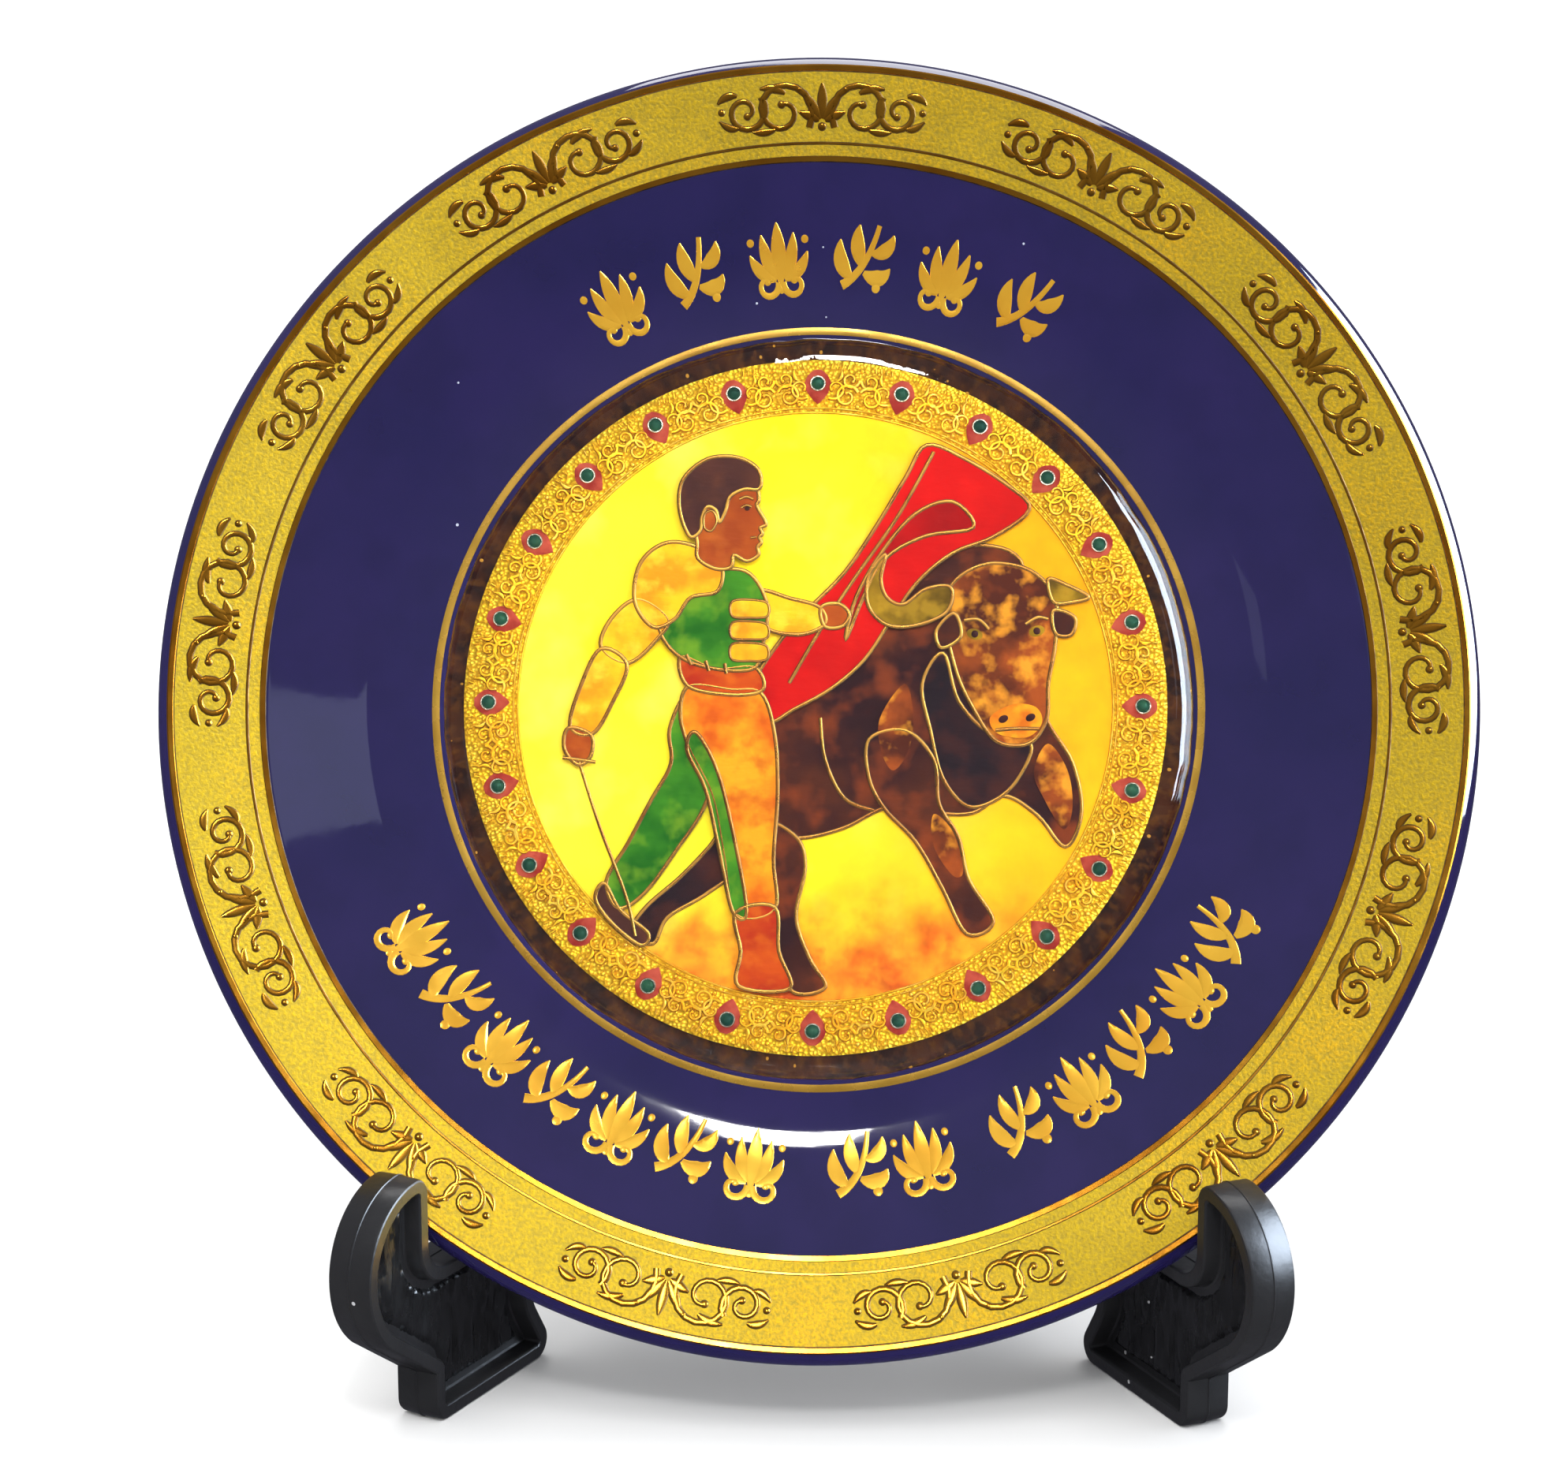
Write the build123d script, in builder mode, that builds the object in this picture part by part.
from build123d import *
from math import sin, cos, tan, sqrt, radians
import os

# A round souvenir plate standing on a folding two-wing easel.
# Millimetres, +Z up.  The plate faces -Y and leans back.  The origin is on the
# surface the easel stands on, under the middle of the whole object.

# ---------------------------------------------------------------- plate sizes
# Heights on the plate are measured along its axis from the plane of the rim:
# 0 is the front of the rim and a minus sign goes towards the back.
plate_radius = 75.0
rim_edge_round = 1.7            # half of the rounded rim's thickness
rim_margin = 1.2                # bare glaze outside the gold band
band_width = 11.0               # gold band on the rim
band_slope = 12.0               # degrees the rim falls towards the middle
band_thickness = 0.12
field_slope = 18.0              # degrees the plain field falls
cove_radius = 26.0              # cove between the field and the flat well
well_radius = 44.8              # flat floor of the well
foot_radius = well_radius + 2.2  # outside of the ring the plate stands on
foot_width = 3.4
foot_height = 2.8
base_thickness = 4.2            # ceramic under the well
wall_thickness = 3.4
edge_back_set_in = 0.6          # where the rounded rim runs into the back
back_fall_set_out = 2.0         # the back turns downwards this far outside the band
shoulder_set_out = 3.0          # where the back meets the foot ring's outer wall
shoulder_rise = 0.5
foot_edge_round = 1.0
foot_inner_draft = 0.8

# ------------------------------------------------------------- medallion sizes
line_outer_radius = well_radius - 0.5  # thin gold line round the well
line_width = 0.5
line_thickness = 0.06
medallion_radius = well_radius - 4.6
medallion_thickness = 0.3
medallion_offset = -0.3         # set by hand, a little left of the middle
glue_thickness = 0.1
glue_margin = 1.2               # the glue stops short of the foil's edge
dome_radius = well_radius - 1.8
dome_edge_height = 1.5          # where the resin turns over
dome_height = 2.3
dome_turn = 2.6                 # width of the rolled edge
dome_edge_tangent = (-0.35, 1)

# ----------------------------------------------------------- gold on the field
spray_share = 0.3377            # of the straight field's width
spray_thickness = 0.06
upper_spray_arc = 62.0          # degrees
lower_spray_arc = 128.0

# ----------------------------------------------------------------- easel sizes
lean = 24.0                     # degrees the plate leans back
half_spread = 28.0              # degrees from the middle to each wing
wing_length = 89.0              # hinge axis to the front of the foot
wing_thickness = 5.5
web_thickness = 1.4
rib_width = 1.8
closing_gap = 0.4               # between the wings when folded flat
foot_length = 23.4
foot_round = 2.2                # keep it more than the rib's width
foot_step_height = 6.1          # where the foot meets the bulging nose
nose_reach = 12.8               # the nose stands out past the foot
nose_height = 20.5
hook_height = 30.5
prong_set_out = 0.9             # back of the prong, ahead of the foot's front
groove_back_round = 3.0
groove_front_round = 3.4
post_height = 88.0
post_top_width = 9.0
hinge_edge_height = 60.0
rear_foot_length = 15.0
arch_height = 26.0
# Along the wing from the heel (the back of the front foot), and up.
heel_low = (-1.6, 0)
heel_neck = (2.4, 6.4)
arch_front = (1.5, 14.5)
arch_front_high = (-8.0, arch_height - 3.5)
arch_top = (-21.0, arch_height)
# Along the wing from the end of the rear foot.
arch_rear = (8.0, arch_height - 8.0)
shoulder_slope = 0.18           # the rear edge's top, rise over run
post_top_drop = 4.0             # its corners are this far below its crown
post_crown = 0.8
prong_tip_drop = 2.6            # the prong's back edge ends below the tip
prong_tip_middle = (0.6, -0.7)  # from the prong's back and the tip's height
prong_tip_width = 2.1
nose_under = (-0.31 * nose_reach, -8.2)  # from the front of the nose
barrel_web_overlap = 0.2

# ----------------------------------------------------------------- hinge sizes
barrel_radius = 3.2
barrel_bottom = 0.8
barrel_gap = 0.3                # between one barrel and the next
panel_clearance = 0.5           # barrel to the end of the other wing's panel
pin_radius = 1.2
pin_fit = 0.01                  # radial, where the left wing holds the pin
pin_running_clearance = 0.05    # radial, where the right wing turns on it
pin_head_radius = 2.2
pin_head_height = 0.9
pin_head_round = 0.54

# ------------------------------------------------------------ where they stand
rim_overhang = 3.3229           # the rim's lowest point, ahead of the wings' length
rim_lowest_height = 9.1841
seat_gap = 0.3                  # plate to the wings, at the rim and the foot

lean_sin, lean_cos, lean_tan = (f(radians(lean)) for f in (sin, cos, tan))
spread_sin, spread_cos, spread_tan = (f(radians(half_spread)) for f in (sin, cos, tan))
# Hinge axis to the middle of the rim, and the height of that middle.
plate_setback = wing_length * spread_cos + rim_overhang - plate_radius * lean_sin
plate_centre_height = rim_lowest_height + plate_radius * lean_cos
band_outer_radius = plate_radius - rim_margin
band_inner_radius = band_outer_radius - band_width
wing_inner = closing_gap / 2
front_reach = (wing_length + nose_reach) * spread_cos - wing_inner * spread_sin
hinge_y = (front_reach - barrel_radius) / 2

# Levels of the plate's front face.
band_drop = (band_outer_radius - band_inner_radius) * tan(radians(band_slope))
cove_start = well_radius + cove_radius * sin(radians(field_slope))
field_drop = (band_inner_radius - cove_start) * tan(radians(field_slope))
cove_drop = cove_radius * (1 - cos(radians(field_slope)))
spray_outer_radius = cove_start + spray_share * (band_inner_radius - cove_start)
well_level = -(band_drop + field_drop + cove_drop)
base_level = well_level - base_thickness
foot_level = base_level - foot_height

plate_centre = (0, hinge_y - plate_setback, plate_centre_height)
plate_axis = (0, -lean_cos, lean_sin)
plate_plane = Plane(origin=plate_centre, x_dir=(1, 0, 0), z_dir=plate_axis)
# Radius runs along this plane's X and height above the rim along its Y.
section_plane = Plane(origin=plate_centre, x_dir=(1, 0, 0), z_dir=(0, -lean_sin, -lean_cos))
turning_axis = Axis(plate_centre, plate_axis)
parts = []


def keep(builder, label):
    builder.part.label = label
    parts.append(builder.part)


def band_level(radius):
    return -(band_outer_radius - radius) * tan(radians(band_slope))


def field_level(radius):
    return -band_drop - (band_inner_radius - radius) * tan(radians(field_slope))


# ------------------------------------------------------------------ plate body
edge_centre = (plate_radius - rim_edge_round, -rim_edge_round)
edge_back = (edge_centre[0] - edge_back_set_in, edge_centre[1] - rim_edge_round)
back_fall = (band_inner_radius + back_fall_set_out, -band_drop - wall_thickness)
with BuildPart() as plate_body:
    with BuildSketch(section_plane):
        with BuildLine():
            floor = Line((0, well_level), (well_radius, well_level))
            cove = JernArc(floor @ 1, (1, 0), cove_radius, field_slope)
            field = Line(cove @ 1, (band_inner_radius, -band_drop))
            band = Line(field @ 1, (band_outer_radius, 0))
            edge = ThreePointArc(band @ 1, (plate_radius, edge_centre[1]), edge_back)
            back = Line(edge @ 1, back_fall)
            shoulder = Line(
                back @ 1, (foot_radius + shoulder_set_out, base_level + shoulder_rise)
            )
            foot_out = Line(shoulder @ 1, (foot_radius, foot_level + foot_edge_round))
            foot_turn = RadiusArc(
                foot_out @ 1, (foot_radius - foot_edge_round, foot_level), foot_edge_round
            )
            foot_flat = Line(
                foot_turn @ 1, (foot_radius - foot_width + foot_inner_draft, foot_level)
            )
            foot_in = Line(foot_flat @ 1, (foot_radius - foot_width, base_level))
            underside = Line(foot_in @ 1, (0, base_level))
            Line(underside @ 1, (0, well_level))
        make_face()
    revolve(axis=turning_axis)
keep(plate_body, "plate_body")

# ------------------------------------------------- gold laid on the glazed face
with BuildPart() as rim_band:
    with BuildSketch(section_plane):
        with BuildLine():
            Polyline(
                (band_inner_radius, band_level(band_inner_radius)),
                (band_outer_radius, 0),
                (band_outer_radius, band_thickness),
                (band_inner_radius, band_level(band_inner_radius) + band_thickness),
                close=True,
            )
        make_face()
    revolve(axis=turning_axis)
keep(rim_band, "rim_band")

with BuildPart() as well_line:
    with BuildSketch(plate_plane.offset(well_level)):
        Circle(line_outer_radius)
        Circle(line_outer_radius - line_width, mode=Mode.SUBTRACT)
    extrude(amount=line_thickness)
keep(well_line, "well_line")


def section_at(angle):
    """Section plane through the plate's axis, angle degrees round from +X."""
    x, up = cos(radians(angle)), sin(radians(angle))
    outwards = Vector(x, up * lean_sin, up * lean_cos)
    return Plane(origin=plate_centre, x_dir=outwards, z_dir=outwards.cross(Vector(*plate_axis)))


def gold_spray(label, arc, middle):
    """A thin curved patch of gold on the field, with its middle at this angle from +X."""
    with BuildPart() as spray:
        with BuildSketch(section_at(middle - arc / 2)):
            with BuildLine():
                Polyline(
                    (cove_start, field_level(cove_start)),
                    (spray_outer_radius, field_level(spray_outer_radius)),
                    (spray_outer_radius, field_level(spray_outer_radius) + spray_thickness),
                    (cove_start, field_level(cove_start) + spray_thickness),
                    close=True,
                )
            make_face()
        revolve(axis=turning_axis, revolution_arc=arc)
    keep(spray, label)


gold_spray("upper_spray", upper_spray_arc, 90)
gold_spray("lower_spray", lower_spray_arc, 270)

# ------------------------------------------------------ medallion in the well
foil_level = well_level + glue_thickness
foil_top = foil_level + medallion_thickness
with BuildPart() as medallion_glue:
    with BuildSketch(plate_plane.offset(well_level)):
        with Locations((medallion_offset, 0)):
            Circle(medallion_radius - glue_margin)
    extrude(amount=glue_thickness)
keep(medallion_glue, "medallion_glue")

with BuildPart() as medallion_foil:
    with BuildSketch(plate_plane.offset(foil_level)):
        with Locations((medallion_offset, 0)):
            Circle(medallion_radius)
    extrude(amount=medallion_thickness)
keep(medallion_foil, "medallion_foil")

with BuildPart() as resin_dome:
    with BuildSketch(section_plane):
        with BuildLine():
            under = Line((0, well_level), (dome_radius, well_level))
            roll = Spline(
                under @ 1,
                (dome_radius - dome_turn, well_level + dome_edge_height),
                (0, well_level + dome_height),
                tangents=(dome_edge_tangent, (-1, 0)),
            )
            Line(roll @ 1, (0, well_level))
        make_face()
    revolve(axis=turning_axis)
    with BuildSketch(plate_plane.offset(well_level)):
        with Locations((medallion_offset, 0)):
            Circle(medallion_radius)
    extrude(amount=glue_thickness + medallion_thickness, mode=Mode.SUBTRACT)
keep(resin_dome, "resin_dome")


# ----------------------------------------------------------------- easel wings
def ring_height(radius, level):
    """Lowest height of a ring on the plate where it crosses a wing's inner face."""
    ring_y = plate_centre[1] - level * lean_cos
    ring_z = plate_centre[2] + level * lean_sin
    reach = radius
    for _ in range(30):
        y = ring_y - reach * lean_sin
        x = (hinge_y - y) * spread_tan + wing_inner / spread_cos
        reach = sqrt(radius**2 - x**2)
    return ring_z - reach * lean_cos


def rim_lowest():
    """Lowest height of the rounded rim over a wing's inner face."""
    turns = [radians(-10 * step) for step in range(12)]
    rings = [
        (edge_centre[0] + rim_edge_round * cos(turn), edge_centre[1] + rim_edge_round * sin(turn))
        for turn in turns
    ]
    return min(ring_height(radius, level) for radius, level in rings)


def post_front(height):
    """Distance from the hinge axis to the post's front edge, along the wing."""
    y = plate_centre[1] + (height - plate_centre[2]) * lean_tan
    y += (seat_gap - foot_level) / lean_cos
    return (hinge_y - y + wing_inner * spread_sin) / spread_cos


groove_floor = rim_lowest() - seat_gap
panel_end = barrel_radius + panel_clearance
barrel_web_length = panel_end + barrel_web_overlap
barrel_top = hinge_edge_height
front = wing_length
prong = front + prong_set_out
nose_front = front + nose_reach
heel = front - foot_length
post_corner = post_height - post_top_drop
post_back_top = post_front(post_height) - post_top_width


def beside(distance, step):
    """The point this step along the wing and up from a distance at ground level."""
    return distance + step[0], step[1]


def wing_outline():
    """Closed outline of a wing: X is the distance from the hinge axis, Y the height."""
    with BuildLine() as outline:
        foot = FilletPolyline(
            (front, foot_step_height),
            (front, 0),
            beside(heel, heel_low),
            beside(heel, heel_neck),
            radius=foot_round,
        )
        arch = TangentArc(foot @ 1, beside(heel, arch_front), tangent=foot % 1)
        for point in (
            beside(heel, arch_front_high),
            beside(heel, arch_top),
            beside(rear_foot_length, arch_rear),
            (rear_foot_length, 0),
        ):
            arch = TangentArc(arch @ 1, point, tangent=arch % 1)
        rear_base = Line(arch @ 1, (panel_end, 0))
        rear_edge = Line(rear_base @ 1, (panel_end, hinge_edge_height))
        shoulder = TangentArc(
            rear_edge @ 1, (post_back_top, post_corner), tangent=(1, shoulder_slope)
        )
        post_top = ThreePointArc(
            shoulder @ 1,
            ((post_back_top + post_front(post_height)) / 2, post_height + post_crown),
            (post_front(post_corner), post_corner),
        )
        groove = FilletPolyline(
            post_top @ 1,
            (post_front(groove_floor), groove_floor),
            (prong, groove_floor),
            (prong, hook_height - prong_tip_drop),
            radius=(groove_back_round, groove_front_round),
        )
        prong_tip = ThreePointArc(
            groove @ 1,
            (prong + prong_tip_middle[0], hook_height + prong_tip_middle[1]),
            (prong + prong_tip_width, hook_height),
        )
        nose = TangentArc(prong_tip @ 1, (nose_front, nose_height), tangent=(1, 0))
        nose = TangentArc(
            nose @ 1,
            (nose_front + nose_under[0], nose_height + nose_under[1]),
            tangent=nose % 1,
        )
        Line(nose @ 1, foot @ 0)
    return outline.line


def wing(label, side, barrels, bore_radius):
    """side -1 is the left wing, +1 the right one; barrels lists its barrels' heights."""
    inner_face = Plane(
        origin=(0, hinge_y, 0),
        x_dir=(side * spread_sin, -spread_cos, 0),
        z_dir=(-spread_cos, -side * spread_sin, 0),
    )
    outwards = -side
    outline = wing_outline()
    pocket_depth = (wing_thickness - web_thickness) / 2
    with BuildPart() as body:
        with BuildSketch(inner_face.offset(outwards * wing_inner)):
            with BuildLine():
                add(outline)
            make_face()
        extrude(amount=outwards * wing_thickness)
        for level in (wing_inner, wing_inner + wing_thickness - pocket_depth):
            with BuildSketch(inner_face.offset(outwards * level)):
                with BuildLine():
                    add(outline)
                make_face()
                offset(amount=-rib_width, mode=Mode.REPLACE)
            extrude(amount=outwards * pocket_depth, mode=Mode.SUBTRACT)
        for bottom, top in barrels:
            with BuildSketch(Plane.XY.offset(bottom)):
                with Locations((0, hinge_y)):
                    Circle(barrel_radius)
            extrude(amount=top - bottom)
            with BuildSketch(inner_face.offset(outwards * wing_inner)):
                with Locations((barrel_web_length / 2, (bottom + top) / 2)):
                    Rectangle(barrel_web_length, top - bottom)
            extrude(amount=outwards * (barrel_radius - wing_inner))
        with BuildSketch(Plane.XY.offset(-1)):
            with Locations((0, hinge_y)):
                Circle(bore_radius)
        extrude(amount=barrel_top + 2, mode=Mode.SUBTRACT)
    keep(body, label)


barrel_step = (barrel_top - barrel_bottom) / 3
low_joint = barrel_bottom + barrel_step
high_joint = barrel_top - barrel_step
wing(
    "left_wing",
    -1,
    [(barrel_bottom, low_joint - barrel_gap / 2), (high_joint + barrel_gap / 2, barrel_top)],
    pin_radius + pin_fit,
)
wing(
    "right_wing",
    1,
    [(low_joint + barrel_gap / 2, high_joint - barrel_gap / 2)],
    pin_radius + pin_running_clearance,
)

with BuildPart() as hinge_pin:
    with BuildSketch(Plane.XY.offset(barrel_bottom)):
        with Locations((0, hinge_y)):
            Circle(pin_radius)
    extrude(amount=barrel_top - barrel_bottom)
    with BuildSketch(Plane.XY.offset(barrel_top)):
        with Locations((0, hinge_y)):
            Circle(pin_head_radius)
    extrude(amount=pin_head_height)
    top_edge = hinge_pin.edges().filter_by(GeomType.CIRCLE).sort_by(Axis.Z)[-1]
    fillet(top_edge, pin_head_round)
keep(hinge_pin, "hinge_pin")

os.makedirs("parts", exist_ok=True)
for part in parts:
    export_step(part, f"parts/{part.label}.step")
